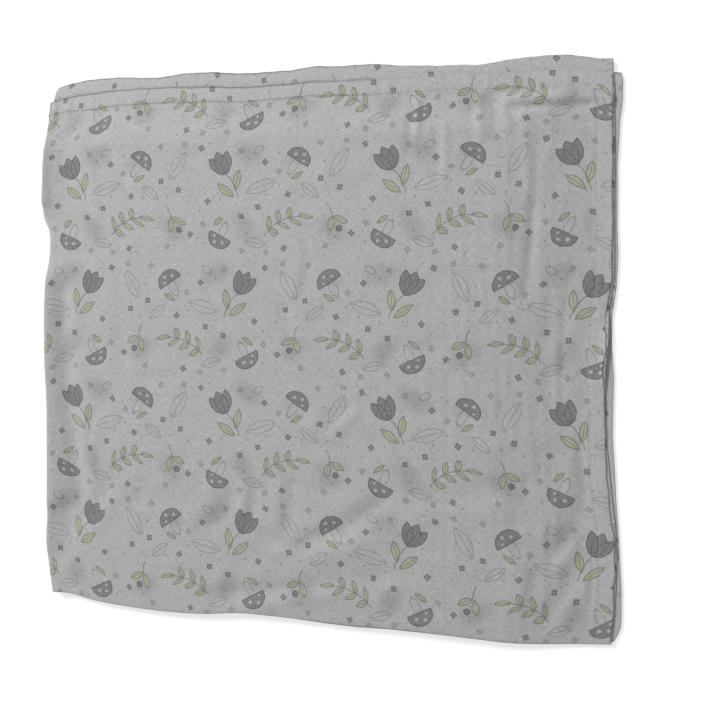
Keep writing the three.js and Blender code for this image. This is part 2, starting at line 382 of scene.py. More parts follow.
def folded(s, t):
    """Where the middle of the cloth lies. s runs across it from the left fold, above zero on
    the half folded over, and t along it from the near fold, below zero on the outer half."""
    near_reach, near_turn, _ = bend(t, NEAR_RADIUS)
    left_reach, left_turn, left_lean = bend(s, LEFT_RADIUS)
    inset = NEAR_RADIUS * (1 + near_turn)
    level = LEFT_RADIUS + (LEFT_RADIUS - inset) * left_turn
    under = (1 - left_turn) / 2
    inner = (1 + near_turn) / 2

    across_run = np.where(s > 0, RUN_OVER, RUN_UNDER)
    along_run = np.where(t > 0, RUN_INNER, RUN_OUTER)
    a = (left_reach + inset * left_lean) / bend(across_run, LEFT_RADIUS)[0]
    b = near_reach / bend(along_run, NEAR_RADIUS)[0]

    across = mix(-HALF_WIDE, HALF_WIDE, a)
    near_y = mix(
        curve_through(NEAR_FOLD, "x", across, "upper"),
        curve_through(NEAR_FOLD, "x", across, "lower"),
        under,
    )
    # A stitched edge is never quite straight, and each layer's wavers in its own way.
    own = INNER_SHIFT * inner + UNDER_SHIFT * under
    waver = waves(across + own, own, seed=21, count=8, shortest=14, longest=70, high=0.35, turns=(0, 0.3))
    far_y = hem_edge(FAR_HEM, "x", across, under, inner) + waver
    y = mix(near_y, far_y, b)
    waver = waves(own, y + own, seed=22, count=8, shortest=14, longest=70, high=0.3, turns=(1.27, 1.57))
    right_x = hem_edge(RIGHT_HEM, "y", y, under, inner) + waver
    x = mix(curve_through(LEFT_FOLD, "y", y, "edge"), right_x, a)

    # Each layer is pressed down by the distance from its own edge, and the second one's lies
    # further out. So in places behind the far hem, and a few by the right one, the underside
    # of the top layer sinks into the second, by 0.14 mm at the median and 0.6 mm at most.
    side, end = edge_distances(s, t)
    free = np.maximum(soft_step(side, *PRESSED_SIDE), soft_step(end, *PRESSED_END))
    lowered = mix(level, np.interp(level, EVEN_LEVELS, FREE_LEVELS), free)
    at_hem = soft_step(np.minimum(side, end), *AT_HEM)
    lift = relief(x, y) + hem_ripples(x, y, own, inner, side, end)
    room = mix(STACK_ROOM, mix(FREE_ROOM, HEM_ROOM, at_hem), free)
    dip = room * np.tanh(np.minimum(lift, 0) / room)
    rise = np.maximum(lift, 0)
    stack_share = np.interp(level, EVEN_LEVELS, STACK_SHARES)
    rise_share = mix(stack_share, np.interp(level, EVEN_LEVELS, FREE_RISES), free)
    dip_share = mix(stack_share, np.interp(level, EVEN_LEVELS, FREE_DIPS), free)
    z = THICK / 2 + lowered + rise_share * rise + dip_share * dip
    return np.stack([x, y, z], -1)


SHORT_STEP = 0.05


def towards_back(s, t):
    """The direction square to the cloth, towards its unprinted back."""
    ds = folded(s + SHORT_STEP, t) - folded(s - SHORT_STEP, t)
    dt = folded(s, t + SHORT_STEP) - folded(s, t - SHORT_STEP)
    square = np.cross(ds, dt)
    return square / np.linalg.norm(square, axis=-1, keepdims=True)


def hem_share(s, t):
    """Distance from the nearest edge over the hem's width there, so 1 is the hem's inner edge.
    The hem is turned by hand, and is widest on the outer half near the left fold."""
    side, end = edge_distances(s, t)
    wider = HEM_WIDER * soft_step(s, 10, 50) * soft_step(s, 230, 140) * (t < 0)
    end_wide = HEM_WIDE + wider + waves(s, 0 * s, seed=31, count=6, shortest=40, longest=160, high=0.4)
    side_wide = HEM_WIDE + waves(0 * t, t, seed=32, count=6, shortest=40, longest=160, high=0.4)
    return np.minimum(side / side_wide, end / end_wide)


# How dark the hem's inner edge is drawn, and how dark the painted shade along its turned edge is, which
# stands for the dark gap under the free edge: all along the far side, what its left half and its one darker
# stretch add, and along the right side, where the lamp's own shade already darkens the edge.
INNER_EDGE = {"far": 0.18, "left": 0.12, "darker": 0.06, "right": 0.06}
PAINTED_EDGE_SHADE = {"far": 0.12, "left": 0.4, "darker": 0.0, "right": 0.08}


def hem_lines(s, t):
    """How dark the two grey lines of the hem are: its inner edge, seen through the front, and a painted
    shade along its turned edge, which stands for the dark gap under the free edge. Both show most on the
    left half of the far side, and least along the right side."""
    side, end = edge_distances(s, t)
    darker = soft_step(s, 35, 51) * soft_step(s, 140, 124)
    left_half = 1 - soft_step(s, 260, 410)
    uneven = waves(s, t, seed=33, count=8, shortest=60, longest=200, high=0.04)
    shown = []
    for line in (INNER_EDGE, PAINTED_EDGE_SHADE):
        far = line["far"] + line["left"] * left_half + line["darker"] * darker + uneven
        shown.append(np.where(end < side, far, line["right"]))
    return shown


# The free edge is round: the share of its thickness that the cloth has, by how far in.
ROUND_EDGE = table(["in", "share"], [[0, 0.3], [0.5, 0.72], [1.2, 0.94], [2.4, 1.0]])
# How deep the stitching draws each face in, and how wide, as a share of the hem's width.
DRAWN_DEEP = 0.16
DRAWN_WIDE = 0.07


def face_offsets(s, t):
    """How far the front and the back lie from the middle of the cloth. The free edge is
    round, the turned hem thickens the back, and the stitching draws both faces in."""
    side, end = edge_distances(s, t)
    share = hem_share(s, t)
    rounding = np.interp(np.minimum(side, end), ROUND_EDGE["in"], ROUND_EDGE["share"])
    turned = soft_step(share, 1.12, 0.96)
    drawn = DRAWN_DEEP * np.exp(-(((share - STITCH_SHARE) / DRAWN_WIDE) ** 2))
    front = (THICK / 2 - drawn) * rounding
    back = (THICK / 2 + HEM_EXTRA * turned - drawn) * rounding
    return front, back


def deselect_all():
    for thing in bpy.context.view_layer.objects:
        thing.select_set(False)


def stretch_lines(run, stretches, hem):
    """Grid lines from a fold to a hemmed edge. stretches gives how far each stretch goes and
    about how wide its cells are, and hem the lines of the hem, counted from the edge."""
    lines = [0.0]
    for far, cell in stretches:
        count = max(1, round((far - lines[-1]) / cell))
        lines += list(np.linspace(lines[-1], far, count + 1)[1:])
    return lines + [run - away for away in hem]


# The hem's grid lines, counted from the edge: at the top layer's two edges, and at the
# cloth's other two, of which less shows.
FINE_HEM = [24, 21.5, 19.5, 18, 16.8, 15.8, 14.8, 13.8, 13, 12, 10.5, 8.5, 6.5, 4.5, 2.4, 1.2, 0.5, 0]
PLAIN_HEM = [24, 20, 17.5, 15.5, 14, 13, 11.5, 8.5, 5.5, 2.4, 1.2, 0.5, 0]
LEFT_QUARTER = LEFT_RADIUS * math.pi / 2
NEAR_QUARTER = NEAR_RADIUS * math.pi / 2


def grid_lines():
    """The lines of the cloth's grid across and along it, closest where it bends or shows."""
    over = stretch_lines(
        RUN_OVER, [(LEFT_QUARTER, 1.0), (60, 3.5), (350, 5.0), (RUN_OVER - 26, 2.35)], FINE_HEM)
    under = stretch_lines(
        RUN_UNDER, [(LEFT_QUARTER, 1.0), (34, 6.0), (RUN_UNDER - 28, 32.0)], PLAIN_HEM)
    outer = stretch_lines(
        RUN_OUTER,
        [(NEAR_QUARTER, 0.6), (24, 3.5), (RUN_OUTER - 60, 3.7), (RUN_OUTER - 26, 1.9)],
        FINE_HEM)
    inner = stretch_lines(
        RUN_INNER,
        [(NEAR_QUARTER, 0.6), (24, 7.0), (RUN_INNER - 60, 30.0), (RUN_INNER - 26, 9.0)],
        PLAIN_HEM)
    s_lines = [-line for line in under[:0:-1]] + over
    t_lines = [-line for line in outer[:0:-1]] + inner
    return np.array(s_lines), np.array(t_lines)


def cloth_place(s, t):
    """Place on the flat cloth, from its corner."""
    return s + RUN_UNDER, RUN_INNER - t


def give_values(mesh, name, values):
    made = mesh.attributes.new(name, "FLOAT", "POINT")
    made.data.foreach_set("value", values.astype(np.float32))


def make_cloth():
    """A flat grid, extruded to a closed sheet in edit mode, whose points are then folded."""
    s_lines, t_lines = grid_lines()
    columns, rows = len(s_lines) - 1, len(t_lines) - 1
    deselect_all()
    bpy.ops.mesh.primitive_grid_add(x_subdivisions=columns, y_subdivisions=rows, size=1)
    cloth = bpy.context.object
    cloth.name = cloth.data.name = "muslin_cloth"
    bpy.ops.object.mode_set(mode="EDIT")
    bpy.ops.mesh.select_all(action="SELECT")
    bpy.ops.mesh.extrude_region_move(TRANSFORM_OT_translate={"value": (0, 0, 1)})
    bpy.ops.object.mode_set(mode="OBJECT")

    mesh = cloth.data
    flat = np.zeros(len(mesh.vertices) * 3)
    mesh.vertices.foreach_get("co", flat)
    flat = flat.reshape(-1, 3)
    s = s_lines[np.rint((flat[:, 0] + 0.5) * columns).astype(int)]
    t = t_lines[np.rint((flat[:, 1] + 0.5) * rows).astype(int)]
    on_back = flat[:, 2] > 0.5
    front, back = face_offsets(s, t)
    away = np.where(on_back, back, -front)
    place = folded(s, t) + towards_back(s, t) * away[:, None]
    mesh.vertices.foreach_set("co", (place * MM).ravel())

    side, end = edge_distances(s, t)
    across, along = cloth_place(s, t)
    give_values(mesh, "hem_share", np.minimum(hem_share(s, t), 2))
    give_values(mesh, "hem_along", np.where(side < end, along, across))
    inner_edge, painted_edge_shade = hem_lines(s, t)
    give_values(mesh, "inner_edge", inner_edge)
    # Painted shade along each turned edge, for the dark gap under the free edge.
    give_values(mesh, "painted_edge_shade", painted_edge_shade)
    give_values(mesh, "reverse", on_back * 1.0)
    lay_print(mesh, across, along, side, end, on_back)
    mesh.update()
    bpy.ops.object.shade_smooth()
    return cloth


def lay_print(mesh, across, along, side, end, on_back):
    """The UV map that the print follows, in metres on the flat cloth. On the back, the
    turned hem shows the printed face, mirrored past the edge that it is turned over."""
    corner = np.zeros(len(mesh.loops), int)
    mesh.loops.foreach_get("vertex_index", corner)
    faces = len(mesh.polygons)
    of_face = corner.reshape(faces, 4)
    side_here = side[of_face].mean(1)
    end_here = end[of_face].mean(1)
    turned = on_back[of_face].all(1) & (np.minimum(side_here, end_here) < HEM_WIDE)
    by_side = np.repeat(turned & (side_here < end_here), 4)
    by_end = np.repeat(turned & (side_here >= end_here), 4)
    u, v = across[corner], along[corner]
    u = np.where(by_side, np.where(u < CLOTH_WIDE / 2, -u, 2 * CLOTH_WIDE - u), u)
    v = np.where(by_end, np.where(v < CLOTH_LONG / 2, -v, 2 * CLOTH_LONG - v), v)
    layer = mesh.uv_layers.new(name="print_place")
    layer.uv.foreach_set("vector", (np.stack([u, v], 1) * MM).astype(np.float32).ravel())


# The thread of the hem's stitch line.
STITCH = {"long": 2.1, "gap": 0.5, "thick": 0.4, "around": 6, "rings": 4}


def stitch_places():
    """The middle of each stitch on the flat cloth, and the direction that it runs in."""
    step = STITCH["long"] + STITCH["gap"]
    inset = HEM_WIDE * STITCH_SHARE
    rows = []
    for edge in (-RUN_UNDER, RUN_OVER):
        t = np.arange(-RUN_OUTER + inset, RUN_INNER - inset, step)
        t = t[np.abs(t) > NEAR_QUARTER + STITCH["long"] / 2]
        rows.append((np.full_like(t, edge), t, True))
    for edge in (-RUN_OUTER, RUN_INNER):
        s = np.arange(-RUN_UNDER + inset, RUN_OVER - inset, step)
        rows.append((s, np.full_like(s, edge), False))
    placed = []
    for s, t, along in rows:
        # A few steps inwards find where the hem share is the stitch line's.
        for _ in range(4):
            short = (STITCH_SHARE - hem_share(s, t)) * HEM_WIDE
            if along:
                s = s - np.sign(s) * short
            else:
                t = t - np.sign(t) * short
        placed.append((s, t, np.full(len(s), along)))
    return [np.concatenate(column) for column in zip(*placed)]


def make_stitches():
    """One stitch is modelled and copied along the hem of both faces, as one joined mesh."""
    deselect_all()
    bpy.ops.mesh.primitive_uv_sphere_add(segments=STITCH["around"], ring_count=STITCH["rings"], radius=0.5)
    thread = bpy.context.object
    thread.name = thread.data.name = "hem_stitching"
    bpy.ops.object.mode_set(mode="EDIT")
    bpy.ops.mesh.select_all(action="SELECT")
    bpy.ops.transform.resize(value=(STITCH["thick"], STITCH["thick"], STITCH["long"]))
    bpy.ops.object.mode_set(mode="OBJECT")
    one = np.zeros(len(thread.data.vertices) * 3)
    thread.data.vertices.foreach_get("co", one)
    one = one.reshape(-1, 3)
    one_faces = [list(face.vertices) for face in thread.data.polygons]

    s, t, along = stitch_places()
    normal = towards_back(s, t)
    ahead = np.where(
        along[:, None],
        folded(s, t + 1) - folded(s, t - 1),
        folded(s + 1, t) - folded(s - 1, t),
    )
    ahead /= np.linalg.norm(ahead, axis=1, keepdims=True)
    beside = np.cross(normal, ahead)
    front, back = face_offsets(s, t)
    middles = [folded(s, t) - normal * front[:, None], folded(s, t) + normal * back[:, None]]
    points = np.concatenate([
        middle[:, None]
        + one[None, :, 0:1] * beside[:, None]
        + one[None, :, 1:2] * normal[:, None]
        + one[None, :, 2:3] * ahead[:, None]
        for middle in middles
    ])
    starts = np.arange(len(points)) * len(one)
    faces = [[start + corner for corner in face] for start in starts for face in one_faces]
    joined = bpy.data.meshes.new("hem_stitching")
    joined.from_pydata((points.reshape(-1, 3) * MM).tolist(), [], faces)
    thread.data = joined
    bpy.ops.object.shade_smooth()
    return thread


def linear(hex_colour):
    """A colour as Blender wants it, from an sRGB hex value."""
    parts = [int(hex_colour[i:i + 2], 16) / 255 for i in (0, 2, 4)]
    return [c / 12.92 if c <= 0.04045 else ((c + 0.055) / 1.055) ** 2.4 for c in parts] + [1.0]


def add(tree, kind, sources=(), **settings):
    """Adds a node. sources gives its inputs in order, or by name: a value, or an output to
    link. Returns its output, or all of them if it has several."""
    made = tree.nodes.new("ShaderNode" + kind)
    for name, value in settings.items():
        setattr(made, name, value)
    for key, value in sources.items() if isinstance(sources, dict) else enumerate(sources):
        if isinstance(value, bpy.types.NodeSocket):
            tree.links.new(value, made.inputs[key])
        elif value is not None:
            made.inputs[key].default_value = value
    shown = [output for output in made.outputs if output.enabled]
    return shown[0] if len(shown) == 1 else shown


# The print: a generic repeat of tulips, mushrooms, sprigs and loose leaves, turned every
# way. It is a brick repeat, and every other row of bricks is mirrored.
TILE_WIDE = 174.0
TILE_HIGH = 124.0

# Each motif is drawn upright about its own middle, as shapes under the ink they take.
# A leaf or an oval is a middle, a turn in degrees, half its length and half its width. A cap
# is an oval cut off a little under its middle, and an arc is two ends and how far it bows
# out to the left of its way.
TULIP = {
    "dark": [("leaf", -6.0, 10.6, 112, 11.6, 5.2), ("leaf", 6.0, 10.6, 68, 11.6, 5.2),
             ("leaf", 0, 11.6, 90, 12.4, 6.2)],
    "green": [("leaf", -7.8, -15, 118, 11, 3.8), ("leaf", 8.4, -11, 52, 10.5, 3.7)],
    "line": [("arc", 0, 0, 2, -27, 2.2)],
}
MUSHROOM = {
    "dark": [("cap", 0, 3, 0, 12.8, 11.0)],
    "pale": [("oval", -5, 6, 0, 1.9, 1.6), ("oval", 3, 9.5, 0, 1.8, 1.5), ("oval", 6.5, 3.8, 0, 1.4, 1.2)],
    "thin": [("oval", 0, -5.5, 90, 9.5, 3.8)],
    "green": [("leaf", 8.5, -11.5, 62, 6.5, 2.3)],
}
SPRIG = {
    "dark": [("oval", 0, 11.5, 0, 2.8, 2.8)],
    "green": [("leaf", -5.6, 4, 128, 7.4, 3.1), ("leaf", 5.6, 4, 52, 7.4, 3.1)],
    "line": [("arc", 0, -2, -2, -15, -1.2)],
}
# How far under its middle a cap is cut off, as a share of half its width.
CAP_CUT = 0.18
LOOSE_LEAF = {"thin": [("leaf", 0, 0, 0, 17, 6.2)]}
SHORT_LEAF = {"thin": [("leaf", 0, 0, 0, 11.5, 4.6)]}
SMALL_OVAL = {"thin": [("oval", 0, 0, 0, 5.6, 3.4)]}

# Which motif lies where in the brick, and its turn.
MOTIFS = [
    (TULIP, (-50, 26), 26),
    (MUSHROOM, (26, 36), -34),
    (MUSHROOM, (-60, -38), 152),
    (SPRIG, (62, -22), 205),
    (LOOSE_LEAF, (70, 34), 58),
    (LOOSE_LEAF, (-12, 12), 18),
    (SHORT_LEAF, (-22, -46), -14),
    (SHORT_LEAF, (40, 6), -38),
    (SMALL_OVAL, (-14, 50), 30),
]
# The first ones are large enough to show through a layer of cloth.
LARGE_MOTIFS = MOTIFS[:4]
# The branch bows, and its leaves stand in pairs, with one more at its end.
BRANCH = {"at": (6, -24), "turn": 24, "half_long": 22, "pair_step": 13.0, "pairs": 3, "bow": 0.011}
BRANCH_LEAF = {"at": (0.4, 5.2), "turn": 52, "size": (6.6, 2.6), "past_end": 4}
# A leaf's rib stops this far short of its outline.
RIB_SHORT = 1.2

# Small marks in half a brick, and their turns. The other half has them turned about.
SMALL_DARK = [(-26, 3, 10), (28, 9, 35), (36, -37, 5), (8, 18, 40), (-34, -52, 20)]
SMALL_PALE = [(10, -50, 25), (7, 54, 0), (-36, 27, 15), (34, 56, 30)]
DOTS = [(-24, -57), (-12, 1), (20, -41), (12, 35), (37, -3), (-36, 13), (16, 2), (-36, 46)]

# Half the width of each drawn line or dot, which a fill doesn't need, and its ink's strength.
INKS = {
    "dark rim": (0.5, 1.0),
    "green rim": (0.42, 0.78),
    "line": (0.42, 0.8),
    "rib": (0.34, 0.66),
    "thin": (0.36, 0.56),
    "small dark": (0.0, 0.72),
    "small pale": (0.0, 0.38),
    "dots": (0.95, 0.55),
}
SOLID_INK = 0.7
# How long the mottle of the solid ink is, and how long and wide a drawn line wavers.
MOTTLE_LONG = 2.5
WAVER_LONG = 6
WAVER_WIDE = 1.3


def moved(shape, at, turn):
    """A motif's shape in the brick."""
    c, s = math.cos(math.radians(turn)), math.sin(math.radians(turn))

    def placed(x, y):
        return (at[0] + x * c - y * s, at[1] + x * s + y * c)

    if shape[0] == "arc":
        return ("arc", *placed(*shape[1:3]), *placed(*shape[3:5]), shape[5])
    return (shape[0], *placed(*shape[1:3]), shape[3] + turn, *shape[4:])


def own_place(tree, place, x, y, turn, scale=(1, 1, 1)):
    return add(tree, "Mapping", (place, (x, y, 0), (0, 0, math.radians(turn)), scale), vector_type="TEXTURE")


def leaf(tree, own, half_long, half_wide):
    """Distance from the outline of a pointed leaf, which is where two circles overlap, and
    distance from its rib."""
    radius = (half_long ** 2 + half_wide ** 2) / (2 * half_wide)
    own = add(tree, "VectorMath", (own,), operation="ABSOLUTE")
    away = add(tree, "VectorMath", (own, (0, half_wide - radius, 0)), operation="DISTANCE")
    outline = add(tree, "Math", (away, radius), operation="SUBTRACT")
    across = add(tree, "SeparateXYZ", (own,))[1]
    short = add(tree, "Math", (outline, RIB_SHORT), operation="ADD")
    return outline, add(tree, "Math", (across, short), operation="MAXIMUM")


def arc(tree, place, x0, y0, x1, y1, bow):
    """Distance from a thin arc between two places."""
    start, end = np.array([x0, y0], float), np.array([x1, y1], float)
    way = end - start
    half = np.linalg.norm(way) / 2
    square = np.array([-way[1], way[0]]) / (2 * half)
    radius = (half ** 2 + bow ** 2) / (2 * abs(bow))
    centre = (start + end) / 2 + square * (bow - math.copysign(radius, bow))
    top = (start + end) / 2 + square * bow
    reach = np.linalg.norm(start - top)
    ring = add(tree, "VectorMath", (place, (*centre, 0)), operation="DISTANCE")
    ring = add(tree, "Math", (ring, radius), operation="SUBTRACT")
    ring = add(tree, "Math", (ring,), operation="ABSOLUTE")
    cut = add(tree, "VectorMath", (place, (*top, 0)), operation="DISTANCE")
    cut = add(tree, "Math", (cut, reach), operation="SUBTRACT")
    return add(tree, "Math", (ring, cut), operation="MAXIMUM")


def shape_distances(tree, place, shape):
    """Distance from a shape's outline, below zero inside it, and from a leaf's rib."""
    if shape[0] == "arc":
        return arc(tree, place, *shape[1:]), None
    _, x, y, turn, half_long, half_wide = shape
    if shape[0] == "leaf":
        return leaf(tree, own_place(tree, place, x, y, turn), half_long, half_wide)
    own = own_place(tree, place, x, y, turn, (half_long, half_wide, 1))
    length = add(tree, "VectorMath", (own,), operation="LENGTH")
    least = min(half_long, half_wide)
    outline = add(tree, "Math", (length, least, -least), operation="MULTIPLY_ADD")
    if shape[0] == "cap":
        up = add(tree, "SeparateXYZ", (own,))[1]
        cut = add(tree, "Math", (up, -half_wide, -CAP_CUT * half_wide), operation="MULTIPLY_ADD")
        outline = add(tree, "Math", (outline, cut), operation="MAXIMUM")
    return outline, None


def small_blossom(tree, place, x, y, turn):
    """Distance from a blossom of four round petals, about 7 mm across."""
    out, radius = 1.95, 1.55
    own = add(tree, "VectorMath", (own_place(tree, place, x, y, turn),), operation="ABSOLUTE")
    one = add(tree, "VectorMath", (own, (out, 0, 0)), operation="DISTANCE")
    two = add(tree, "VectorMath", (own, (0, out, 0)), operation="DISTANCE")
    least = add(tree, "Math", (one, two), operation="MINIMUM")
    return add(tree, "Math", (least, radius), operation="SUBTRACT")


def keep_nearest(tree, found, ink, distance):
    """Keeps the least distance from any shape that takes this ink."""
    if ink in found:
        distance = add(tree, "Math", (found[ink], distance), operation="MINIMUM")
    found[ink] = distance


def outline_and_fill(tree, found, ink, outline, rib):
    """Adds a shape to its ink, with its drawn outline and its rib."""
    rim = add(tree, "Math", (outline,), operation="ABSOLUTE")
    if ink == "thin":
        keep_nearest(tree, found, "thin", rim)
    else:
        keep_nearest(tree, found, ink, outline)
        keep_nearest(tree, found, ink + " rim", rim)
    if rib and ink != "dark":
        keep_nearest(tree, found, "thin" if ink == "thin" else "rib", rib)


def branch(tree, place, found):
    """A bowed branch: one leaf, drawn again in every pair by folding the place it is drawn at."""
    x, y, _ = add(tree, "SeparateXYZ", (own_place(tree, place, *BRANCH["at"], BRANCH["turn"]),))
    squared = add(tree, "Math", (x, x), operation="MULTIPLY")
    y = add(tree, "Math", (squared, BRANCH["bow"], y), operation="MULTIPLY_ADD")
    beside = add(tree, "Math", (y,), operation="ABSOLUTE")
    out = add(tree, "Math", (x,), operation="ABSOLUTE")
    step = BRANCH["pair_step"]
    along = add(tree, "Math", (x, step / 2, -step / 2), operation="WRAP")
    paired = add(tree, "CombineXYZ", (along, beside, 0.0))
    paired = own_place(tree, paired, *BRANCH_LEAF["at"], BRANCH_LEAF["turn"])
    outline, rib = leaf(tree, paired, *BRANCH_LEAF["size"])
    past = add(tree, "Math", (out, step * BRANCH["pairs"] / 2), operation="SUBTRACT")
    outline = add(tree, "Math", (outline, past), operation="MAXIMUM")
    rib = add(tree, "Math", (rib, past), operation="MAXIMUM")
    outline_and_fill(tree, found, "green", outline, rib)
    end = add(tree, "CombineXYZ", (x, y, 0.0))
    end = own_place(tree, end, BRANCH["half_long"] + BRANCH_LEAF["past_end"], 0, 0)
    outline_and_fill(tree, found, "green", *leaf(tree, end, *BRANCH_LEAF["size"]))
    past = add(tree, "Math", (out, BRANCH["half_long"]), operation="SUBTRACT")
    keep_nearest(tree, found, "line", add(tree, "Math", (beside, past), operation="MAXIMUM"))


def inked(tree, distance, half_wide, amount, soft=0.35):
    """How much ink lies at a distance from a shape: amount inside it, fading over its edge."""
    return add(tree, "MapRange", {
        "Value": distance,
        "From Min": half_wide - soft,
        "From Max": half_wide + soft,
        "To Min": amount,
        "To Max": 0.0,
    })


def strongest(tree, inks):
    most = inks[0]
    for other in inks[1:]:
        most = add(tree, "Math", (most, other), operation="MAXIMUM")
    return most


def brick_place(tree, place):
    """The place within one brick, and within the half brick of the small marks."""
    x, y, _ = add(tree, "SeparateXYZ", (place,))
    row = add(tree, "Math", (y, TILE_HIGH), operation="DIVIDE")
    row = add(tree, "Math", (row,), operation="ROUND")
    y = add(tree, "Math", (row, -TILE_HIGH, y), operation="MULTIPLY_ADD")
    x = add(tree, "Math", (row, -TILE_WIDE / 2, x), operation="MULTIPLY_ADD")
    x = add(tree, "Math", (x, TILE_WIDE / 2, -TILE_WIDE / 2), operation="WRAP")
    odd = add(tree, "Math", (row, 0.5), operation="MULTIPLY")
    odd = add(tree, "Math", (odd,), operation="FRACT")
    side = add(tree, "Math", (odd, -4.0, 1.0), operation="MULTIPLY_ADD")
    x = add(tree, "Math", (x, side), operation="MULTIPLY")
    half = add(tree, "Math", (x,), operation="SIGN")
    half_x = add(tree, "Math", (half, -TILE_WIDE / 4, x), operation="MULTIPLY_ADD")
    half_y = add(tree, "Math", (half, y), operation="MULTIPLY")
    return add(tree, "CombineXYZ", (x, y, 0.0)), add(tree, "CombineXYZ", (half_x, half_y, 0.0))


def new_group(name, results):
    """An empty node group that is given a place. Returns its tree, that place and its end."""
    tree = bpy.data.node_groups.new(name, "ShaderNodeTree")
    tree.interface.new_socket("Place", in_out="INPUT", socket_type="NodeSocketVector")
    for label in results:
        tree.interface.new_socket(label, in_out="OUTPUT", socket_type="NodeSocketFloat")
    start = tree.nodes.new("NodeGroupInput")
    end = tree.nodes.new("NodeGroupOutput")
    return tree, start.outputs["Place"], end.inputs


def print_group():
    """The print's inks at a place on the flat cloth, in millimetres. Its lines waver a
    little, as drawn ones do."""
    tree, given, result = new_group("muslin_print", ["Dark", "Green"])
    waver = add(tree, "TexNoise", {"Vector": given, "Scale": 1 / WAVER_LONG, "Detail": 1.0},
                noise_dimensions="2D")[1]
    waver = add(tree, "VectorMath", (waver, (0.5, 0.5, 0.5)), operation="SUBTRACT")
    waver = add(tree, "VectorMath", {0: waver, "Scale": WAVER_WIDE}, operation="SCALE")
    place, half_place = brick_place(tree, add(tree, "VectorMath", (given, waver), operation="ADD"))

    found = {}
    branch(tree, place, found)
    for motif, at, turn in MOTIFS:
        for ink, shapes in motif.items():
            for shape in shapes:
                outline, rib = shape_distances(tree, place, moved(shape, at, turn))
                if ink in ("line", "pale"):
                    keep_nearest(tree, found, ink, outline)
                else:
                    outline_and_fill(tree, found, ink, outline, rib)
    for x, y, turn in SMALL_DARK:
        keep_nearest(tree, found, "small dark", small_blossom(tree, half_place, x, y, turn))
    for x, y, turn in SMALL_PALE:
        keep_nearest(tree, found, "small pale", small_blossom(tree, half_place, x, y, turn))
    for x, y in DOTS:
        away = add(tree, "VectorMath", (half_place, (x, y, 0)), operation="DISTANCE")
        keep_nearest(tree, found, "dots", away)

    # The pale spots are left bare in the dark ink.
    spared = add(tree, "Math", (found["pale"], -1.0), operation="MULTIPLY")
    solid = add(tree, "Math", (found["dark"], spared), operation="MAXIMUM")
    # Inside the large shapes the ink is softly mottled, as thin ink on muslin is.
    mottle = add(tree, "TexNoise", {"Vector": given, "Scale": 1 / MOTTLE_LONG, "Detail": 1.0},
                 noise_dimensions="2D")[0]
    mottle = add(tree, "MapRange", {
        "Value": mottle, "From Min": 0.3, "From Max": 0.7, "To Min": 0.82, "To Max": 1.08})
    filled = add(tree, "Math", (inked(tree, solid, 0.0, SOLID_INK), mottle), operation="MULTIPLY")
    drawn = [inked(tree, found[ink], half_wide, amount) for ink, (half_wide, amount) in INKS.items()]
    tree.links.new(strongest(tree, [filled] + drawn), result["Dark"])
    tree.links.new(inked(tree, found["green"], 0.0, 1.0), result["Green"])
    return tree


def show_through_group():
    """The large motifs alone, blurred, as they show through a layer of thin cloth."""
    tree, given, result = new_group("muslin_show_through", ["Dark", "Green"])
    place, _ = brick_place(tree, given)
    found = {}
    spread = 1.3
    for motif, at, turn in LARGE_MOTIFS:
        for ink in ("dark", "green"):
            _, x, y, angle, half_long, half_wide = moved(motif[ink][-1], at, turn)
            blurred = ("oval", x, y, angle, half_long, min(half_wide, half_long / 2) * spread)
            keep_nearest(tree, found, ink, shape_distances(tree, place, blurred)[0])
    tree.links.new(inked(tree, found["dark"], 1.0, 1.0, soft=5.0), result["Dark"])
    tree.links.new(inked(tree, found["green"], 1.0, 1.0, soft=4.0), result["Green"])
    return tree


# A thread as drawn: how wide it is, and how far it runs before it changes. The thick ones
# run further, and the higher the least grain that shows one, the rarer they are.
THREAD_WIDE = 0.8
THREAD_RUN = 5
UPRIGHT_SLUB = {"run": 200, "least": 0.74}
LEVEL_SLUB = {"run": 300, "least": 0.68}


def weave_group():
    """Light and dark of the loose plain weave. The real threads lie 0.5 mm apart, which is
    finer than the picture shows, so the threads are drawn 0.8 mm wide. Here and there a
    long thick one shows, as in such cotton."""
    tree, place, result = new_group("muslin_weave", ["Threads", "Slubs"])
    threads = []
    for scale in ((1 / THREAD_WIDE, 1 / THREAD_RUN, 0), (1 / THREAD_RUN, 1 / THREAD_WIDE, 0)):
        own = add(tree, "VectorMath", (place, scale), operation="MULTIPLY")
        threads.append(add(tree, "TexNoise", {"Vector": own, "Scale": 1.0, "Detail": 2.0},
                           noise_dimensions="2D")[0])
    total = add(tree, "Math", (threads[0], threads[1]), operation="ADD")
    tree.links.new(add(tree, "Math", (total, 1.0), operation="SUBTRACT"), result["Threads"])
    upright = (1 / THREAD_WIDE, 1 / UPRIGHT_SLUB["run"], 0)
    level = (1 / LEVEL_SLUB["run"], 1 / THREAD_WIDE, 0)
    slubs = []
    for scale, least in ((upright, UPRIGHT_SLUB["least"]), (level, LEVEL_SLUB["least"])):
        own = add(tree, "VectorMath", (place, scale), operation="MULTIPLY")
        grain = add(tree, "TexNoise", {"Vector": own, "Scale": 1.0, "Detail": 0.0},
                    noise_dimensions="2D")[0]
        slubs.append(add(tree, "MapRange", {"Value": grain, "From Min": least, "From Max": least + 0.1}))
    tree.links.new(strongest(tree, slubs), result["Slubs"])
    return tree


def new_material(name):
    made = bpy.data.materials.new(name)
    made.use_nodes = True
    made.node_tree.nodes.clear()
    return made, made.node_tree


# How much the threads, the thick ones, the clouds and the hem lighten or darken the cloth,
# and how strongly the next layer's dark and green show through it.
THREAD_SHADE = 0.5
SLUB_SHADE = -0.08
CLOUD_SHADE = 0.03
HEM_SHADE = 0.045
SHOWN_DARK = 0.26
SHOWN_GREEN = 0.1
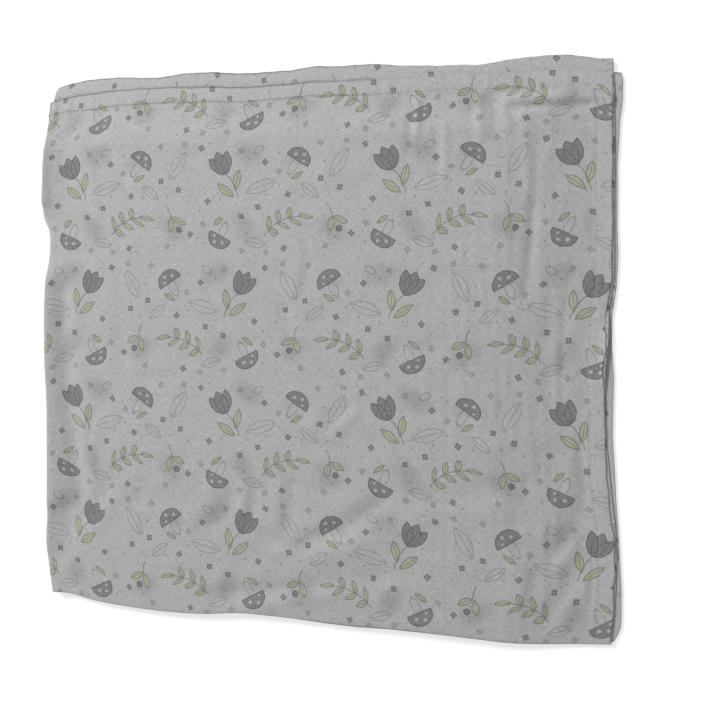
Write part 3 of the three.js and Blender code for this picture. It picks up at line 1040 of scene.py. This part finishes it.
# How long the clouds are, and the patches of cooler and warmer grey.
CLOUD_LONG = 17
TINT_LONG = 26
COOL_GREY = "9B9D9D"
WARM_GREY = "9F9D9E"
GREEN_INK = "979A82"
DARK_INK = "4C4C4E"
SHOWN_INK = "5B5B5D"


def printed_muslin():
    """Soft bleached cotton, loosely plain woven and screen printed. It looks matt and a
    little mottled, its ink is broken by the threads, and the next layer's print shows
    through faintly, though not through the hem, which is three layers thick."""
    made, tree = new_material("printed_muslin")
    print_place = add(tree, "UVMap", uv_map="print_place")
    place = add(tree, "VectorMath", {0: print_place, "Scale": 1 / MM}, operation="SCALE")
    share = add(tree, "Attribute", attribute_name="hem_share")[2]
    hem_along = add(tree, "Attribute", attribute_name="hem_along")[2]
    reverse = add(tree, "Attribute", attribute_name="reverse")[2]

    threads, slubs = add(tree, "Group", (place,), node_tree=weave_group())
    cloud = add(tree, "TexNoise", {"Vector": place, "Scale": 1 / CLOUD_LONG, "Detail": 2.0},
                noise_dimensions="2D")
    shade = add(tree, "Math", (threads, THREAD_SHADE, 1.0), operation="MULTIPLY_ADD")
    shade = add(tree, "Math", (slubs, SLUB_SHADE, shade), operation="MULTIPLY_ADD")
    cloud_shade = add(tree, "MapRange", {
        "Value": cloud[0], "To Min": 1 - CLOUD_SHADE, "To Max": 1 + CLOUD_SHADE})
    shade = add(tree, "Math", (shade, cloud_shade), operation="MULTIPLY")

    in_hem = add(tree, "MapRange", {"Value": share, "From Min": 1.02, "From Max": 0.98})
    shade_hem = add(tree, "Math", (in_hem, HEM_SHADE, 1.0), operation="MULTIPLY_ADD")
    shade = add(tree, "Math", (shade, shade_hem), operation="MULTIPLY")
    # Thin grey lines where the hem ends: painted shade along its turned edge, for the dark gap under the
    # free edge, and its inner edge seen through.
    inner_line = add(tree, "Math", (share, 1.0), operation="SUBTRACT")
    inner_line = add(tree, "Math", (inner_line,), operation="ABSOLUTE")
    inner_line = inked(tree, inner_line, 0.05, 1.0, soft=0.03)
    inner_edge = add(tree, "Attribute", attribute_name="inner_edge")[2]
    inner_line = add(tree, "Math", (inner_line, inner_edge), operation="MULTIPLY")
    # The turned edge's line is painted shade, for the dark gap under the free edge.
    edge_shade_line = inked(tree, share, 0.1, 1.0, soft=0.05)
    painted_edge_shade = add(tree, "Attribute", attribute_name="painted_edge_shade")[2]
    edge_shade_line = add(tree, "Math", (edge_shade_line, painted_edge_shade), operation="MULTIPLY")
    lines = add(tree, "Math", (inner_line, edge_shade_line), operation="MAXIMUM")
    kept = add(tree, "Math", (1.0, lines), operation="SUBTRACT")
    shade = add(tree, "Math", (shade, kept), operation="MULTIPLY")

    dark, green = add(tree, "Group", (place,), node_tree=print_group())
    # The layer on the other side of this one is the cloth's other half, mirrored.
    mirrored = add(tree, "VectorMath", (place, (1, -1, 1)), operation="MULTIPLY")
    mirrored = add(tree, "VectorMath", (mirrored, (0, 2 * RUN_INNER, 0)), operation="ADD")
    below_dark, below_green = add(tree, "Group", (mirrored,), node_tree=show_through_group())
    sheer = add(tree, "Math", (1.0, in_hem), operation="SUBTRACT")

    # On the back the print shows at half strength, apart from the turned hem.
    faint = add(tree, "Math", (reverse, sheer), operation="MULTIPLY")
    strength = add(tree, "Math", (faint, -0.5, 0.96), operation="MULTIPLY_ADD")
    broken = add(tree, "Math", (threads, 0.5, strength), operation="MULTIPLY_ADD")
    dark = add(tree, "Math", (dark, broken), operation="MULTIPLY", use_clamp=True)
    green = add(tree, "Math", (green, broken), operation="MULTIPLY", use_clamp=True)
    fading = add(tree, "MapRange", {"Value": share, "From Min": 1.0, "From Max": 1.5})
    below_dark = add(tree, "Math", (below_dark, fading), operation="MULTIPLY")
    below_dark = add(tree, "Math", (below_dark, SHOWN_DARK), operation="MULTIPLY")
    below_green = add(tree, "Math", (below_green, fading), operation="MULTIPLY")
    below_green = add(tree, "Math", (below_green, SHOWN_GREEN), operation="MULTIPLY")

    # A faint cast of cooler and warmer threads over the grey of the cloth, then the inks.
    tint = add(tree, "TexNoise", {"Vector": place, "Scale": 1 / TINT_LONG, "Detail": 1.0},
               noise_dimensions="2D")
    greys = {"Factor": tint[0], 6: linear(COOL_GREY), 7: linear(WARM_GREY)}
    colour = add(tree, "Mix", greys, data_type="RGBA")
    inks = [(below_green, GREEN_INK), (below_dark, SHOWN_INK), (green, GREEN_INK), (dark, DARK_INK)]
    for amount, ink in inks:
        colour = add(tree, "Mix", {"Factor": amount, 6: colour, 7: linear(ink)}, data_type="RGBA")
    colour = add(tree, "VectorMath", {0: colour, "Scale": shade}, operation="SCALE")

    # Relief that is finer than the mesh: threads, and the puckers along the stitch line.
    step = STITCH["long"] + STITCH["gap"]
    pucker = add(tree, "Math", (hem_along, 2 * math.pi / step), operation="MULTIPLY")
    pucker = add(tree, "Math", (pucker,), operation="SINE")
    off_line = add(tree, "Math", (share, STITCH_SHARE), operation="SUBTRACT")
    off_line = add(tree, "Math", (off_line,), operation="ABSOLUTE")
    near_line = inked(tree, off_line, 0.12, 0.5, soft=0.12)
    height = add(tree, "Math", (pucker, near_line), operation="MULTIPLY")
    height = add(tree, "Math", (threads, 0.6, height), operation="MULTIPLY_ADD")
    normal = add(tree, "Bump", {"Strength": 0.8, "Distance": 0.25 * MM, "Height": height})

    shader = add(tree, "BsdfPrincipled", {
        "Base Color": colour,
        "Roughness": 0.92,
        "IOR": 1.5,
        "Specular IOR Level": 0.2,
        "Sheen Weight": 0.1,
        "Sheen Roughness": 0.6,
        "Normal": normal,
    })
    add(tree, "OutputMaterial", (shader,))
    return made


def sewing_thread():
    """Fine twisted polyester thread, a little smoother and brighter than the cloth."""
    made, tree = new_material("pale_sewing_thread")
    place = add(tree, "TexCoord")[3]
    twist_long = 1.4 * MM
    twist = add(tree, "TexNoise", {"Vector": place, "Scale": 1 / twist_long, "Detail": 1.0})
    greys = {"Factor": twist[0], 6: linear("9A9A9B"), 7: linear("BABABB")}
    shader = add(tree, "BsdfPrincipled", {
        "Base Color": add(tree, "Mix", greys, data_type="RGBA"),
        "Roughness": 0.6,
        "IOR": 1.5,
        "Specular IOR Level": 0.35,
    })
    add(tree, "OutputMaterial", (shader,))
    return made


# The floor's side and the lamp's place, in metres, how far the floor lies under the cloth,
# and how bright the room and the lamp are.
FLOOR_SIDE = 8
FLOOR_DROP = 0.4 * MM
LAMP_PLACE = (-2.4, 2.1, 2.3)
LAMP_WATTS = 182
ROOM_STRENGTH = 0.5


def plain_floor():
    """A wide matt white board, lit from within as a light table is, so that what lies on it
    throws only a faint shadow."""
    deselect_all()
    bpy.ops.mesh.primitive_plane_add(size=FLOOR_SIDE, location=(0, 0, -FLOOR_DROP))
    floor = bpy.context.object
    floor.name = "floor"
    made, tree = new_material("matt_white_board")
    shader = add(tree, "BsdfPrincipled", {
        "Base Color": linear("AAAAAA"),
        "Roughness": 0.9,
        "Emission Color": linear("FFFFFF"),
        "Emission Strength": 0.6,
    })
    add(tree, "OutputMaterial", (shader,))
    floor.data.materials.append(made)


def soft_light():
    """A bright even room and one large soft lamp, far off beyond the far left corner."""
    world = bpy.data.worlds.new("pale_room")
    world.use_nodes = True
    sky = world.node_tree.nodes["Background"].inputs
    sky["Color"].default_value = linear("FFFFFF")
    sky["Strength"].default_value = ROOM_STRENGTH
    bpy.context.scene.world = world
    lamp = bpy.data.lights.new("soft_lamp", "AREA")
    lamp.shape = "SQUARE"
    lamp.size = 1.0
    lamp.energy = LAMP_WATTS
    stand = bpy.data.objects.new("soft_lamp", lamp)
    stand.location = LAMP_PLACE
    stand.rotation_mode = "QUATERNION"
    stand.rotation_quaternion = (-stand.location).to_track_quat("-Z", "Y")
    bpy.context.scene.collection.objects.link(stand)


# The photo's view: it looks down, tilted about the line that runs along the mat.
VIEW_TILT = math.radians(11.73)
VIEW_DISTANCE = 708.0
VIEW_AIM = (51.5, -17.75)


def photo_camera():
    lens = bpy.data.cameras.new("photo_view")
    lens.sensor_width = 36
    lens.lens = 35
    lens.clip_start = 0.01
    camera = bpy.data.objects.new("photo_view", lens)
    camera.location = (
        (VIEW_AIM[0] + VIEW_DISTANCE * math.sin(VIEW_TILT)) * MM,
        VIEW_AIM[1] * MM,
        VIEW_DISTANCE * math.cos(VIEW_TILT) * MM,
    )
    camera.rotation_euler = (0, VIEW_TILT, 0)
    bpy.context.scene.collection.objects.link(camera)
    bpy.context.scene.camera = camera


photo_camera()
soft_light()
plain_floor()
bpy.context.scene.view_settings.view_transform = "Standard"

cloth = make_cloth()
cloth.data.materials.append(printed_muslin())
stitches = make_stitches()
stitches.data.materials.append(sewing_thread())

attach(cloth, "root")
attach(stitches, "root")
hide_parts("folded_muslin")
